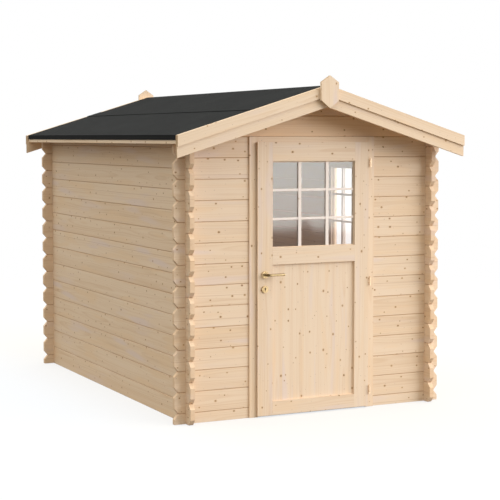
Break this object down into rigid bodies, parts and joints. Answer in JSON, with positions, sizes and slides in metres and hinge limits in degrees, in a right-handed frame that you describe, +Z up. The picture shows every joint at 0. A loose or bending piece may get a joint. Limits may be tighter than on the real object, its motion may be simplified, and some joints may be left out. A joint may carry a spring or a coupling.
{
  "type": "garden shed",
  "caption": "Small log garden shed with interlocking corner logs, a felted gable roof with barge boards and finials, a half-glazed hinged door and a side window.",
  "frame": {"origin": "on the ground at the middle of the shed's plan", "axes": "+Z up, -Y out of the front with the door, +X to the right seen from the front"},
  "size_m": [1.916, 2.8898, 2.0156],
  "materials": {
    "logs": "planed untreated spruce",
    "trim_wood": "planed untreated spruce",
    "door_wood": "planed untreated spruce",
    "roof_felt": "mineral-faced bitumen felt",
    "glass": "clear",
    "brass": "polished"
  },
  "bodies": {
    "shed": {"front_wall_left": "logs", "front_wall_right": "logs", "front_gable": "logs", "back_wall": "logs", "back_gable": "logs", "left_wall": "logs", "right_wall": "logs", "ridge_purlin": "logs", "side_purlins": "logs", "roof_deck_left": "logs", "roof_deck_right": "logs", "felt_left": "roof_felt", "felt_right": "roof_felt", "felt_ridge": "roof_felt", "eave_batten_left": "trim_wood", "eave_batten_right": "trim_wood", "front_barge_left": "trim_wood", "front_barge_right": "trim_wood", "back_barge_left": "trim_wood", "back_barge_right": "trim_wood", "front_cover_left": "trim_wood", "front_cover_right": "trim_wood", "back_cover_left": "trim_wood", "back_cover_right": "trim_wood", "front_finial": "trim_wood", "back_finial": "trim_wood", "door_jamb_left": "trim_wood", "door_jamb_right": "trim_wood", "door_head": "trim_wood", "window_jambs": "trim_wood", "window_rails": "trim_wood", "window_glass": "glass", "hinge_jamb_halves": "brass"},
    "door": {"door_lock_stile": "door_wood", "door_hinge_stile": "door_wood", "door_top_rail": "door_wood", "door_middle_rail": "door_wood", "door_bottom_rail": "door_wood", "door_panel": "door_wood", "door_glass": "glass", "hinge_leaf_halves": "brass", "lever_roses": "brass", "keyhole_roses": "brass"},
    "handle": {"lever_outside": "brass", "lever_inside": "brass"}
  },
  "joints": [
    {"name": "door_swing", "type": "hinge", "parent": "shed", "child": "door", "pos_m": [0.385, -1.262, 0], "axis": [0, 0, 1], "range_deg": [0, 110]},
    {"name": "lever_turn", "type": "hinge", "parent": "door", "child": "handle", "pos_m": [-0.332, -1.23, 0.848], "axis": [0, 1, 0], "range_deg": [0, 45], "stiffness_Nm_per_rad": 0.8, "springref_deg": -45.84}
  ]
}
